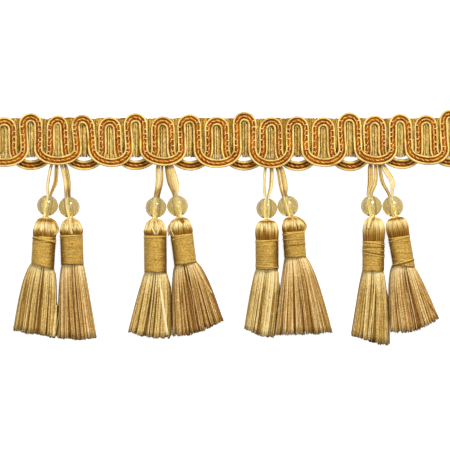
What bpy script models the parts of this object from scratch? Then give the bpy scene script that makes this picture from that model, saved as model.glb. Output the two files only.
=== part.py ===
"""A cut length of beaded tassel fringe, lying on its back on a flat surface.

Metres, +Z up. X runs along the heading, Y runs from the tassels' cut ends to the heading's scalloped edge,
and Z = 0 is the surface that the fringe lies on. The origin is the middle of the footprint.
"""

import math
import random

import bpy
import bmesh
from mathutils import Matrix, Vector

MM = 0.001

# Driving sizes, in millimetres
GAP = 0.3
HEADING_LENGTH = 188.8
GROUND_TOP_Y = 40.8
GROUND_LOW_Y = 27.2
GROUND_VALLEY = 0.45
GROUND_CROWN = 0.7
RIBS_PER_ARCH = 4

# The scroll cords: three round cords laid side by side, over the ground and over each other
CORD_WIDTH = 1.13
CORD_THICK = 1.1
BAND_HALF = 1.5 * CORD_WIDTH
ARCH_RISE = 2.85
LEG_BEND_Y = 33.4
LOWER_CURVE_Y = 29.3
ARCH_QUARTER_STEPS = 3
LOWER_QUARTER_STEPS = 4
END_STRAIGHT = 0.4
ON_GROUND_Z = GROUND_CROWN + GAP
LOOP_ROOM = 0.5
OVER_Z = ON_GROUND_Z + CORD_THICK + GAP + LOOP_ROOM
BACK_DROP_FROM_Y = 25.1
BACK_DROP_TO_Y = 23.5

# Beads
BEAD_RADIUS = 3.9
BEAD_HOLE_RADIUS = 1.5
BEAD_STEPS = 14
BEAD_ARC_STEPS = 6
BEAD_Z = BEAD_RADIUS * math.cos(math.pi / BEAD_STEPS)

# Tassels: the head and neck have one flat side for each outer lock, and every second inner cell grows one
BINDING_THICK = 0.6
LOCKS_ROUND = 18
FLAT = math.cos(math.pi / LOCKS_ROUND)
CELL_RINGS = (0.64, 0.36, 0.0)
INNER_SPREAD = 1.6
INNER_DRAWN_IN = 0.92
LOCK_INSET = 0.14
LOCK_BEND = 0.3
SKIRT_SPREAD_POWER = 0.9
SKIRT_BULGE_POWER = 0.6
SKIRT_DRAWN_IN = 0.45
SKIRT_HEIGHT_NECK = 7.2
SKIRT_HEIGHT_TIP = 5.0
SKIRT_MIDDLE = 0.45
SKIRT_SQUARENESS = 0.65
LOCK_LENGTH_SPREAD = 0.6
FLAT_FROM, FLAT_TO = math.radians(-160), math.radians(-20)

# Floss that a tassel hangs by
FLOSS_RADIUS = 0.45
FLOSS_APART = 0.58
FLOSS_TURN = BEAD_RADIUS - 1.1
FLOSS_SWELL = {"start": 0.85, "leave": 1.2, "middle": 1.6, "fork": 1.2, "bead": 1.0}
HANGER_START_Y = 24.9
HANGER_Z = {"start": 0.9, "leave": 2.0, "middle": 3.0}

# Each arch of the scroll, left to right: its middle and top, where its legs stand under the arch and lower
# down, and the middle and edge of the curve below it
ARCH_COLUMNS = ("x", "top", "left", "left_low", "right", "right_low", "low_x", "low")
ARCHES = (
    (-94.4, 43.0, None, None, -91.6, -91.5, -94.4, 21.5),
    (-83.6, 41.7, -86.6, -86.4, -80.4, -80.3, -83.4, 22.6),
    (-73.5, 43.2, -76.4, -75.6, -70.6, -70.5, -73.6, 21.5),
    (-63.1, 42.3, -65.9, -65.9, -60.9, -60.5, -63.2, 23.3),
    (-54.2, 42.6, -56.5, -55.6, -50.9, -50.1, -53.2, 21.4),
    (-43.6, 41.7, -46.4, -46.3, -40.8, -40.5, -42.6, 22.6),
    (-33.8, 43.2, -36.8, -36.1, -30.9, -30.7, -34.0, 21.5),
    (-23.7, 41.9, -26.4, -26.3, -20.6, -20.4, -22.6, 23.0),
    (-13.3, 42.8, -16.5, -16.1, -10.6, -10.3, -13.2, 21.3),
    (-3.0, 41.9, -6.2, -6.0, 0.0, 0.2, -3.0, 22.2),
    (7.1, 43.6, 4.5, 4.8, 10.4, 10.3, 7.2, 21.3),
    (17.7, 41.6, 14.5, 14.6, 20.2, 20.3, 17.4, 22.0),
    (27.3, 42.0, 24.5, 24.6, 30.2, 30.3, 27.6, 21.1),
    (37.4, 41.6, 34.3, 34.4, 40.0, 40.2, 37.7, 22.6),
    (47.0, 43.4, 44.0, 44.5, 49.9, 50.3, 47.6, 21.1),
    (56.6, 42.3, 53.8, 54.1, 59.4, 59.5, 57.4, 23.4),
    (66.1, 42.9, 63.5, 63.5, 69.1, 69.5, 67.2, 21.9),
    (76.2, 42.5, 73.2, 73.4, 78.8, 79.1, 77.4, 23.4),
    (84.9, 44.5, 82.6, 83.2, 88.0, 88.1, 85.7, 22.6),
    (94.4, 42.6, 91.8, 91.9, None, None, 94.4, 21.9),
)

# Each tassel: bead, top of the head, lower end of the binding, how far below the top the binding starts, its
# radius, the corners of the cut skirt with how far its middle hangs below the line between them, how far the
# shoulders slope, and how far each side of the skirt bulges out
TASSEL_COLUMNS = (
    "name", "bead", "top", "neck", "band_from", "radius", "tip_left", "tip_right", "sag", "slope", "left_out",
    "right_out",
)
TASSELS = (
    ("1a", (-67.0, 8.1), (-67.7, 3.5), (-68.8, -15.2), 7.2, 4.49, (-80.0, -38.5), (-64.0, -41.3), 0.3,
     1.8, 1.3, 0.95),
    ("1b", (-58.8, 7.5), (-58.1, 3.1), (-57.6, -13.7), 6.0, 4.42, (-63.4, -41.5), (-48.5, -41.5), 0.8,
     1.6, 0.5, 0.0),
    ("2a", (-26.1, 7.4), (-26.4, 2.9), (-26.2, -16.8), 6.1, 4.38, (-36.4, -39.2), (-20.7, -41.2), 1.2,
     1.6, 0.1, 0.9),
    ("2b", (-17.9, 7.9), (-17.2, 3.4), (-14.9, -13.9), 6.4, 4.38, (-20.1, -40.8), (-1.0, -35.1), 1.6,
     1.2, 0.7, 1.0),
    ("3a", (15.7, 7.0), (15.8, 2.5), (15.9, -15.6), 7.4, 4.45, (7.5, -38.1), (18.2, -41.1), 0.9,
     1.0, 0.35, 0.95),
    ("3b", (23.8, 7.9), (25.4, 3.8), (26.5, -11.1), 5.7, 4.26, (18.8, -40.2), (40.8, -39.4), 0.4,
     1.2, 0.0, 1.0),
    ("4a", (55.2, 7.9), (56.2, 3.4), (55.9, -16.6), 8.9, 4.23, (47.9, -40.4), (62.0, -44.0), 0.7,
     1.1, 0.1, 0.7),
    ("4b", (63.4, 7.8), (64.4, 3.6), (67.5, -14.5), 7.4, 4.23, (62.4, -39.2), (80.8, -34.3), 2.0,
     1.0, 1.2, 0.3),
)

# The doubled floss of each tassel: the middle of the heading's curve that it comes from, how far from that
# its strands start, their places at the heading's edge and half way down, and where they meet
HANGER_COLUMNS = ("from_x", "starts", "left_leave", "left_middle", "right_leave", "right_middle", "fork")
HANGERS = {
    "1a": (-63.2, (-1.7, -0.55), (-65.9, 22.3), (-67.1, 16.6), (-63.5, 22.3), (-63.9, 17.0), (-66.3, 12.3)),
    "1b": (-63.2, (0.55, 1.7), (-61.8, 22.3), (-60.9, 17.0), (-59.8, 22.3), (-59.1, 17.0), (-59.3, 12.1)),
    "2a": (-23.0, (-1.7, -0.55), (-25.7, 22.3), (-25.9, 16.8), (-24.1, 22.3), (-24.2, 16.8), (-25.6, 12.0)),
    "2b": (-23.0, (0.55, 1.7), (-22.0, 21.9), (-22.0, 16.9), (-20.2, 21.9), (-17.9, 15.7), (-18.8, 12.3)),
    "3a": (17.4, (-1.7, -0.55), (15.2, 21.5), (14.7, 15.7), (17.6, 21.5), (17.3, 15.5), (15.9, 11.6)),
    "3b": (17.4, (0.55, 1.7), (20.0, 21.5), (21.2, 15.4), (21.7, 21.5), (23.1, 15.7), (22.8, 12.2)),
    "4a": (57.0, (-1.7, -0.55), (54.8, 22.2), (54.3, 16.6), (57.1, 22.2), (57.3, 16.6), (55.1, 12.2)),
    "4b": (57.0, (0.55, 1.7), (58.7, 22.2), (59.5, 16.8), (60.7, 22.2), (63.5, 17.3), (62.7, 12.2)),
}

# Colours and roughness
COLOURS = {
    "olive_gold": ((0.50, 0.34, 0.10), 0.6),
    "copper_gold": ((0.62, 0.30, 0.07), 0.5),
    "gold": ((0.76, 0.50, 0.14), 0.5),
    "pale_floss": ((0.80, 0.62, 0.26), 0.35),
    "skirt_floss": ((0.62, 0.42, 0.16), 0.4),
    "binding": ((0.60, 0.40, 0.11), 0.5),
    "bead": ((0.85, 0.74, 0.45), 0.1),
}


def clear_scene():
    for old in list(bpy.data.objects):
        bpy.data.objects.remove(old, do_unlink=True)


def make_material(name):
    colour, roughness = COLOURS[name]
    material = bpy.data.materials.new(name)
    material.use_nodes = True
    shader = material.node_tree.nodes["Principled BSDF"]
    shader.inputs["Base Color"].default_value = (*colour, 1.0)
    shader.inputs["Roughness"].default_value = roughness
    shader.inputs["Metallic"].default_value = 0.0
    return material


def link(collection, name, data, material):
    piece = bpy.data.objects.new(name, data)
    data.materials.append(material)
    collection.objects.link(piece)
    return piece


def smooth_step(value, start, end):
    """0 at start, 1 at end, level at both."""
    share = max(0.0, min(1.0, (value - start) / (end - start)))
    return share * share * (3 - 2 * share)


def mix(first, second, share):
    return first + (second - first) * share


def poly_curve(name, points, dimensions="3D", cyclic=False):
    """A POLY curve through points given in millimetres."""
    curve = bpy.data.curves.new(name, "CURVE")
    curve.dimensions = dimensions
    spline = curve.splines.new("POLY")
    spline.points.add(len(points) - 1)
    for target, point in zip(spline.points, points):
        target.co = (*(value * MM for value in point), 1.0)
    spline.use_cyclic_u = cyclic
    return curve


# Heading

def heading_ground(collection, material):
    """The strip of filler yarns: a flat back, a rib for each group of yarns, cut straight at both ends."""
    ribs = RIBS_PER_ARCH * (len(ARCHES) - 1)
    rib = HEADING_LENGTH / ribs
    outline = [(-HEADING_LENGTH / 2, 0.0, 0.0)]
    for index in range(ribs):
        start = -HEADING_LENGTH / 2 + index * rib
        outline.append((start, GROUND_VALLEY, 0.0))
        outline.append((start + rib / 2, GROUND_CROWN, 0.0))
    outline.append((HEADING_LENGTH / 2, GROUND_VALLEY, 0.0))
    outline.append((HEADING_LENGTH / 2, 0.0, 0.0))
    curve = poly_curve("heading_ground", outline, "2D", cyclic=True)
    curve.fill_mode = "BOTH"
    curve.extrude = (GROUND_TOP_Y - GROUND_LOW_Y) / 2 * MM
    ground = link(collection, "heading_ground", curve, material)
    ground.rotation_euler = (math.radians(90), 0, 0)
    ground.location = (0, (GROUND_TOP_Y + GROUND_LOW_Y) / 2 * MM, 0)
    return ground


def quarter(start, end, steps, starts_upright):
    """Points of a quarter ellipse after start, up to end, that leaves start upright or else level."""
    points = []
    for step in range(1, steps + 1):
        angle = math.pi / 2 * step / steps
        across, along = 1 - math.cos(angle), math.sin(angle)
        if not starts_upright:
            across, along = along, across
        points.append((mix(start[0], end[0], across), mix(start[1], end[1], along)))
    return points


def leg_bend(row, side):
    """Where a leg starts to rise, on the straight between its arch and its lower curve."""
    spring = row["top"] - BAND_HALF - ARCH_RISE
    share = (LEG_BEND_Y - LOWER_CURVE_Y) / (spring - LOWER_CURVE_Y)
    return mix(row[side + "_low"], row[side], share), LEG_BEND_Y


def scroll_route(arches_first):
    """The middle line of one scroll cord: over every other arch, and under the arches between."""
    rows = [dict(zip(ARCH_COLUMNS, row)) for row in ARCHES]
    route = []
    for index, row in enumerate(rows):
        is_arch = (index % 2 == 0) == arches_first
        has_left = index > 0
        has_right = index < len(rows) - 1
        if is_arch:
            crown = (row["x"], row["top"] - BAND_HALF)
            spring = crown[1] - ARCH_RISE
            if has_left:
                foot = (row["left"], spring)
                route += [leg_bend(row, "left"), foot, *quarter(foot, crown, ARCH_QUARTER_STEPS, True)]
            else:
                route += [crown, (crown[0] + END_STRAIGHT, crown[1])]
            if has_right:
                route += quarter(crown, (row["right"], spring), ARCH_QUARTER_STEPS, False)
                route.append(leg_bend(row, "right"))
            else:
                route.insert(-1, (crown[0] - END_STRAIGHT, crown[1]))
        else:
            bottom = (row["low_x"], row["low"] + BAND_HALF)
            if has_left:
                left = (rows[index - 1]["right_low"], LOWER_CURVE_Y)
                route += [left, *quarter(left, bottom, LOWER_QUARTER_STEPS, True)]
            else:
                route += [bottom, (bottom[0] + END_STRAIGHT, bottom[1])]
            if has_right:
                right = (rows[index + 1]["left_low"], LOWER_CURVE_Y)
                route += quarter(bottom, right, LOWER_QUARTER_STEPS, False)
            else:
                route.insert(-1, (bottom[0] - END_STRAIGHT, bottom[1]))
    return route


def cord_profile(collection):
    """The cross-section that both scroll cords share: three rounded ridges on a flat underside."""
    valley = 0.68 * CORD_THICK
    points = [
        (-BAND_HALF, 0.0), (-CORD_WIDTH, CORD_THICK), (-CORD_WIDTH / 2, valley), (0.0, CORD_THICK),
        (CORD_WIDTH / 2, valley), (CORD_WIDTH, CORD_THICK), (BAND_HALF, 0.0),
    ]
    curve = poly_curve("cord_profile", [(x, y, 0.0) for x, y in points], "2D", cyclic=True)
    profile = bpy.data.objects.new("cord_profile", curve)
    profile.hide_render = True
    profile.display_type = "WIRE"
    collection.objects.link(profile)
    return profile


def scroll_cord(collection, name, route, height_at, profile, material):
    curve = poly_curve(name, [(x, y, height_at(y)) for x, y in route])
    curve.twist_mode = "Z_UP"
    curve.bevel_mode = "OBJECT"
    curve.bevel_object = profile
    curve.use_fill_caps = True
    return link(collection, name, curve, material)


def front_height(y):
    """The front cord lies on the ground and rises over the back cord's legs for its lower curves."""
    return mix(ON_GROUND_Z, OVER_Z, smooth_step(y, LEG_BEND_Y, LOWER_CURVE_Y))


def back_height(y):
    """The back cord lies on the ground, passes the ground's lower edge and drops to the surface."""
    return ON_GROUND_Z * (1 - smooth_step(y, BACK_DROP_FROM_Y, BACK_DROP_TO_Y))


# Hangers

def smooth_route(anchors, steps):
    """Points on a Catmull-Rom curve through the anchors, each a Vector of x, y, z and swell."""
    ends = [anchors[0] * 2 - anchors[1], *anchors, anchors[-1] * 2 - anchors[-2]]
    points = []
    for index in range(1, len(ends) - 2):
        before, here, after, beyond = ends[index - 1: index + 3]
        for step in range(steps):
            t = step / steps
            points.append(0.5 * (
                2 * here + (after - before) * t + (2 * before - 5 * here + 4 * after - beyond) * t ** 2
                + (3 * here - before - 3 * after + beyond) * t ** 3
            ))
    points.append(anchors[-1])
    return points


def bead_axis(row):
    """Direction from the head up through the bead."""
    fork = dict(zip(HANGER_COLUMNS, HANGERS[row["name"]]))["fork"]
    return (Vector(fork) - Vector(row["top"])).normalized()


def hanger(collection, row, material):
    """One length of floss, doubled: down one strand, through the bead, round above the head and back up."""
    floss = dict(zip(HANGER_COLUMNS, HANGERS[row["name"]]))
    up = bead_axis(row)
    down = Vector((-up.x, -up.y, 0))
    across = Vector((up.y, -up.x, 0))
    bead = Vector((*row["bead"], BEAD_Z))
    mouth = bead - down * (BEAD_RADIUS + 0.3)
    turn = bead + down * FLOSS_TURN
    strands = []
    for name, start, side in (("left", floss["starts"][0], -1), ("right", floss["starts"][1], 1)):
        step = across * side * FLOSS_APART
        places = {
            "start": (floss["from_x"] + start, HANGER_START_Y, HANGER_Z["start"]),
            "leave": (*floss[name + "_leave"], HANGER_Z["leave"]),
            "middle": (*floss[name + "_middle"], HANGER_Z["middle"]),
            "fork": mouth + step,
        }
        anchors = [Vector((*place, FLOSS_SWELL[key])) for key, place in places.items()]
        inside = [Vector((*(place + step), FLOSS_SWELL["bead"])) for place in (bead, turn)]
        strands.append(smooth_route(anchors, 3) + inside)
    bend = []
    for angle in (math.radians(45), math.radians(90), math.radians(135)):
        place = turn + (down * math.sin(angle) - across * math.cos(angle)) * FLOSS_APART
        bend.append(Vector((*place, FLOSS_SWELL["bead"])))
    route = strands[0] + bend + strands[1][::-1]
    curve = poly_curve(f"hanger_{row['name']}", [point[:3] for point in route])
    for target, point in zip(curve.splines[0].points, route):
        target.radius = point[3]
    curve.twist_mode = "Z_UP"
    curve.bevel_depth = FLOSS_RADIUS * MM
    curve.bevel_resolution = 0
    curve.use_fill_caps = True
    return link(collection, f"hanger_{row['name']}", curve, material)


# Beads and bindings

def turned(collection, name, profile, steps, material):
    """A closed profile of (radius, height) turned about local Z, with a flat side towards local Y."""
    mesh = bpy.data.meshes.new(name)
    points = [(radius * MM, 0, height * MM) for radius, height in profile]
    edges = [(index, (index + 1) % len(points)) for index in range(len(points))]
    mesh.from_pydata(points, edges, [])
    piece = link(collection, name, mesh, material)
    screw = piece.modifiers.new("Turn", "SCREW")
    screw.axis = "Z"
    screw.steps = screw.render_steps = steps
    screw.use_merge_vertices = True
    screw.merge_threshold = 0.00001
    screw.use_smooth_shade = True
    return piece


def lay_along(piece, place, height, up):
    """Lays a piece whose local Z axis is its length along the direction up; its local -Y faces upwards."""
    piece.rotation_euler = (math.radians(-90), 0, math.atan2(-up[0], up[1]))
    piece.location = (place[0] * MM, place[1] * MM, height * MM)


def bead(collection, row, material):
    hole_angle = math.acos(BEAD_HOLE_RADIUS / BEAD_RADIUS)
    profile = []
    for index in range(BEAD_ARC_STEPS + 1):
        angle = hole_angle * (1 - 2 * index / BEAD_ARC_STEPS)
        profile.append((BEAD_RADIUS * math.cos(angle), BEAD_RADIUS * math.sin(angle)))
    piece = turned(collection, f"bead_{row['name']}", profile, BEAD_STEPS, material)
    lay_along(piece, row["bead"], BEAD_Z, bead_axis(row))
    return piece


def head_axis(row):
    """Unit vector up the tassel, and its length from the binding's lower end to the top of the head."""
    axis = Vector(row["top"]) - Vector(row["neck"])
    return axis.normalized(), axis.length


def binding(collection, row, material):
    """The thread wound round the neck, as one sleeve."""
    up, length = head_axis(row)
    high = length - row["band_from"]
    inner = row["radius"] - BINDING_THICK
    profile = [(inner, high), (row["radius"], high), (row["radius"], 0.0), (inner, 0.0)]
    piece = turned(collection, f"binding_{row['name']}", profile, LOCKS_ROUND, material)
    lay_along(piece, row["neck"], row["radius"] * FLAT, up)
    return piece


# Tassels

def neck_radius(row):
    return row["radius"] - BINDING_THICK - GAP / FLAT


def head_profile(row):
    """(radius, height above the binding's lower end) from the neck up to just under the top of the head."""
    length = head_axis(row)[1]
    radius, band_from = row["radius"], row["band_from"]
    high = length - band_from
    return (
        (neck_radius(row), -GAP),
        (neck_radius(row), high + GAP),
        (radius - 0.25, high + 0.9),
        (radius - 0.1, high + 0.55 * band_from),
        (0.84 * radius, length - 1.35 * row["slope"]),
        (0.52 * radius, length - 0.25 * row["slope"]),
    )


def hank(row):
    """The folded head and neck, turned, and the cells under the neck that the locks grow from."""
    radius = neck_radius(row)
    outline = [(0.0, head_axis(row)[1]), *reversed(head_profile(row))]
    outline += [(share * radius, -GAP) for share in CELL_RINGS]
    mesh = bmesh.new()
    points = [mesh.verts.new((across, 0, height)) for across, height in outline]
    edges = [mesh.edges.new(pair) for pair in zip(points, points[1:])]
    bmesh.ops.spin(
        mesh, geom=points + edges, axis=(0, 0, 1), cent=(0, 0, 0), steps=LOCKS_ROUND, angle=2 * math.pi,
        use_merge=True,
    )
    bmesh.ops.remove_doubles(mesh, verts=mesh.verts, dist=0.001)
    bmesh.ops.recalc_face_normals(mesh, faces=mesh.faces)
    middles = {face: face.calc_center_median() for face in mesh.faces if len(face.verts) == 4}
    under = [face for face, middle in middles.items() if middle.z < -0.9 * GAP]
    under.sort(key=lambda face: math.atan2(middles[face].y, middles[face].x))
    outer = [face for face in under if middles[face].xy.length > CELL_RINGS[0] * radius]
    inner = [face for face in under if face not in outer]
    return mesh, outer + inner[::2]


def skirt_edge(angle, half_width, height):
    """Edge of the skirt's section, flat below and domed above, at an angle that turns over the top."""
    if FLAT_FROM <= angle <= FLAT_TO:
        return mix(-half_width, half_width, (angle - FLAT_FROM) / (FLAT_TO - FLAT_FROM)), 0.0
    domed = 2 * math.pi - (FLAT_TO - FLAT_FROM)
    share = ((angle - FLAT_TO) % (2 * math.pi)) / domed
    across, above = math.cos(math.pi * share), math.sin(math.pi * share)
    return (
        math.copysign(abs(across) ** SKIRT_SQUARENESS, across) * half_width,
        max(0.0, above) ** SKIRT_SQUARENESS * height,
    )


def skirt_corner(row, key):
    """Outer corner of the cut edge in the tassel's own frame: across, and along, negative below the neck."""
    up = head_axis(row)[0]
    offset = Vector(row[key]) - Vector(row["neck"])
    return offset.dot(Vector((up.y, -up.x))), offset.dot(up)


def skirt_length(row):
    return -(skirt_corner(row, "tip_left")[1] + skirt_corner(row, "tip_right")[1]) / 2


def skirt_place(row, corner, reach, station):
    """Where a point of the neck's cross-section lies at a station down the skirt: across, height."""
    edges = []
    for side, sign in (("left", -1), ("right", 1)):
        across, along = skirt_corner(row, "tip_" + side)
        share = station * skirt_length(row) / -along
        start = sign * (row["radius"] - SKIRT_DRAWN_IN)
        bulge = sign * row[side + "_out"] * math.sin(math.pi * min(1.0, share) ** SKIRT_BULGE_POWER)
        edges.append(mix(start, across, share ** SKIRT_SPREAD_POWER) + bulge)
    middle, half_width = (edges[0] + edges[1]) / 2, (edges[1] - edges[0]) / 2
    height = mix(SKIRT_HEIGHT_NECK, SKIRT_HEIGHT_TIP, station)
    edge = skirt_edge(math.atan2(-corner.y, corner.x), half_width, height)
    share = math.hypot(corner.x, corner.y) / reach
    return middle + edge[0] * share, mix(height * SKIRT_MIDDLE, edge[1], share)


def cut_line(row, across):
    """How far along the tassel the cut edge lies at a place across it."""
    left, right = skirt_corner(row, "tip_left"), skirt_corner(row, "tip_right")
    share = max(0.0, min(1.0, (across - left[0]) / (right[0] - left[0])))
    return mix(left[1], right[1], share) - row["sag"] * 4 * share * (1 - share)


def loosen(corner, root):
    """An inner lock spreads over the empty cells beside it, and draws in a little from the outer locks."""
    from_root = math.atan2(root.x * corner.y - root.y * corner.x, root.x * corner.x + root.y * corner.y)
    return Matrix.Rotation(from_root * (INNER_SPREAD - 1), 3, "Z") @ corner * INNER_DRAWN_IN


def grow_lock(mesh, cell, row, reach, chance):
    """Extrudes one cell into a lock from the neck to the cut edge, lying level on what is under it."""
    root = cell.calc_center_median()
    corners = [vertex.co.copy() for vertex in cell.verts]
    if root.xy.length < CELL_RINGS[0] * neck_radius(row):
        corners = [loosen(corner, root) for corner in corners]
    tip = cut_line(row, skirt_place(row, root, reach, 1.0)[0])
    tip += chance.uniform(-LOCK_LENGTH_SPREAD, LOCK_LENGTH_SPREAD)
    length = skirt_length(row)
    far = (-tip / length - LOCK_BEND) / (1 - LOCK_BEND)
    face = cell
    for share, along in ((0.0, root.z - LOCK_BEND * length), (far, tip)):
        came_from = {tuple(vertex.co): corner for vertex, corner in zip(face.verts, corners)}
        face = bmesh.ops.extrude_discrete_faces(mesh, faces=[face])["faces"][0]
        corners = [came_from[tuple(vertex.co)] for vertex in face.verts]
        for vertex, corner in zip(face.verts, corners):
            near, end = (Vector(skirt_place(row, corner, reach, station)) for station in (LOCK_BEND, 1.0))
            across, height = near.lerp(end, share)
            vertex.co = (across, row["radius"] * FLAT - height, along)


def tassel(collection, row, seed, material):
    """Folded head, neck and skirt: one hank of floss, its locks joined at the neck."""
    chance = random.Random(seed)
    mesh, cells = hank(row)
    bmesh.ops.inset_individual(mesh, faces=cells, thickness=LOCK_INSET, use_even_offset=True)
    reach = max(math.hypot(vertex.co.x, vertex.co.y) for cell in cells for vertex in cell.verts)
    for cell in cells:
        grow_lock(mesh, cell, row, reach, chance)
    bmesh.ops.recalc_face_normals(mesh, faces=mesh.faces)
    bmesh.ops.scale(mesh, vec=(MM, MM, MM), verts=mesh.verts)
    data = bpy.data.meshes.new(f"tassel_{row['name']}")
    mesh.to_mesh(data)
    mesh.free()
    piece = link(collection, f"tassel_{row['name']}", data, material)
    lay_along(piece, row["neck"], row["radius"] * FLAT, head_axis(row)[0])
    return piece


def centre_on_origin(collection):
    """Parents every piece to one empty and moves it so that the footprint's middle is the origin."""
    frame = bpy.data.objects.new("fringe_frame", None)
    bpy.context.view_layer.update()
    graph = bpy.context.evaluated_depsgraph_get()
    ys = []
    for piece in collection.objects:
        solid = piece.evaluated_get(graph)
        ys += [(solid.matrix_world @ vertex.co).y for vertex in solid.to_mesh().vertices]
        solid.to_mesh_clear()
        piece.parent = frame
    collection.objects.link(frame)
    frame.location.y = -(min(ys) + max(ys)) / 2
    bpy.context.view_layer.update()


def build():
    clear_scene()
    fringe = bpy.data.collections.new("beaded_tassel_fringe")
    helpers = bpy.data.collections.new("helpers")
    bpy.context.scene.collection.children.link(fringe)
    bpy.context.scene.collection.children.link(helpers)
    materials = {name: make_material(name) for name in COLOURS}
    heading_ground(fringe, materials["olive_gold"])
    profile = cord_profile(helpers)
    scroll_cord(fringe, "scroll_front", scroll_route(True), front_height, profile, materials["gold"])
    scroll_cord(fringe, "scroll_back", scroll_route(False), back_height, profile, materials["copper_gold"])
    for seed, values in enumerate(TASSELS):
        row = dict(zip(TASSEL_COLUMNS, values))
        hanger(fringe, row, materials["pale_floss"])
        bead(fringe, row, materials["bead"])
        tassel(fringe, row, seed, materials["skirt_floss"])
        binding(fringe, row, materials["binding"])
    centre_on_origin(fringe)


build()
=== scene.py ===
"""Looks of the beaded tassel fringe: cords, yarns, floss and beads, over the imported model."""

import math
from collections import namedtuple

import bpy
import numpy as np
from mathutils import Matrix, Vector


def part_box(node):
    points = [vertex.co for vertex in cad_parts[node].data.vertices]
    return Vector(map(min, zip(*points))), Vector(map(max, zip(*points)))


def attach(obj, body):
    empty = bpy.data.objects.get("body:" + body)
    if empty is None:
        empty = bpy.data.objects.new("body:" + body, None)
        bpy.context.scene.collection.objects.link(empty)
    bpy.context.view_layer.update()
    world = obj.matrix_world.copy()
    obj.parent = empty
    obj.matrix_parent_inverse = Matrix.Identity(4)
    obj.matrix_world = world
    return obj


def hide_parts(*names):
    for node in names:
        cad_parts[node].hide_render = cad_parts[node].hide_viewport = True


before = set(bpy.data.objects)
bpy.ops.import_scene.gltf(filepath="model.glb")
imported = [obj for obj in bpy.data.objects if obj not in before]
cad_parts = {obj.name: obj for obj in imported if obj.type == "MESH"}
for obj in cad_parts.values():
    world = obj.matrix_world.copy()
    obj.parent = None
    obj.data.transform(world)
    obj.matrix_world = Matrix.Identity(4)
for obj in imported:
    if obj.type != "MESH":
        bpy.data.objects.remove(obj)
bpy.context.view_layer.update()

MM = 0.001

# Camera and floor, in metres: the photograph is 450 pixels of 0.3774 mm wide, taken from straight above
PHOTO_WIDTH = 450 * 0.3774 * MM
PHOTO_MIDDLE_Y = 0.755 * MM
CAMERA_HEIGHT = 1.2
OBJECT_HEIGHT = 0.004
SENSOR = 36.0
FLOOR_Z = -0.0003
FLOOR_SIZE = 6.0
FLOOR_GLOW = 1.65

# Lamps: place and size in metres, power in watts and colour
WORLD_COLOUR, WORLD_STRENGTH = (1.0, 0.99, 0.97, 1.0), 0.24
LAMPS = {
    "window": ((0.28, 0.75, 0.80), (0.35, 0.35), 11.0, (1.0, 0.98, 0.94)),
    "overhead": ((0.10, 0.10, 1.50), (0.9, 0.9), 7.0, (1.0, 0.99, 0.96)),
    "left": ((-0.90, 0.10, 0.50), (0.6, 0.5), 2.4, (0.98, 0.98, 1.0)),
    "right": ((1.0, 0.0, 0.30), (0.6, 0.4), 1.2, (1.0, 0.95, 0.85)),
}

# Cords: dark and light colour, roughness, specular level, and how far apart and deep their fine threads are
CORDS = {
    "gold_cord": ((0.40, 0.18, 0.012), (0.98, 0.71, 0.22), 0.4, 0.4, 0.33, 0.03),
    "copper_cord": ((0.28, 0.065, 0.002), (0.97, 0.49, 0.125), 0.45, 0.3, 0.3, 0.02),
    # groove_thread is the dark sheet of painted shade in the scroll's grooves
    "groove_thread": ((0.18, 0.045, 0.0), (0.46, 0.14, 0.001), 1.0, 0.0, 0.3, 0.02),
    "tie_thread": ((0.60, 0.34, 0.08), (0.98, 0.74, 0.30), 0.5, 0.3, 0.3, 0.01),
    "ground_yarn": ((0.27, 0.115, 0.002), (0.86, 0.56, 0.10), 0.8, 0.05, 0.6, 0.04),
    "filler_yarn": ((0.38, 0.18, 0.01), (0.98, 0.76, 0.27), 0.6, 0.2, 0.6, 0.04),
    "binding_thread": ((0.18, 0.07, 0.0), (0.84, 0.56, 0.13), 0.5, 0.18, 0.05, 0.01, 2400.0, 1.0),
}

# Floss: colours from darkest tint to lightest, roughness, specular level, speckle, colours painted paler in a
# bead
FLOSSES = {
    "hanger_floss": (
        ((0.05, (0.24, 0.11, 0.006)), (0.45, (0.56, 0.36, 0.075)), (0.8, (0.86, 0.71, 0.34)),
         (1.0, (0.98, 0.91, 0.66))), 0.45, 0.3, 0.2,
        ((0.2, (0.22, 0.15, 0.03)), (0.6, (0.60, 0.52, 0.20)), (0.95, (0.96, 0.94, 0.76)))),
    "head_floss": (
        ((0.05, (0.22, 0.08, 0.0)), (0.45, (0.50, 0.28, 0.035)), (0.8, (0.90, 0.73, 0.32)),
         (1.0, (0.97, 0.86, 0.50))), 0.4, 0.35, 0.2),
    "skirt_floss": (
        ((0.05, (0.18, 0.07, 0.004)), (0.5, (0.42, 0.23, 0.036)), (0.9, (0.83, 0.61, 0.21)),
         (1.0, (0.94, 0.79, 0.42))), 0.5, 0.25, 1.0),
    "skirt_floss_brown": (
        ((0.05, (0.18, 0.06, 0.004)), (0.5, (0.41, 0.205, 0.036)), (0.9, (0.79, 0.54, 0.20)),
         (1.0, (0.92, 0.73, 0.38))), 0.5, 0.25, 1.0),
}

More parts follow.
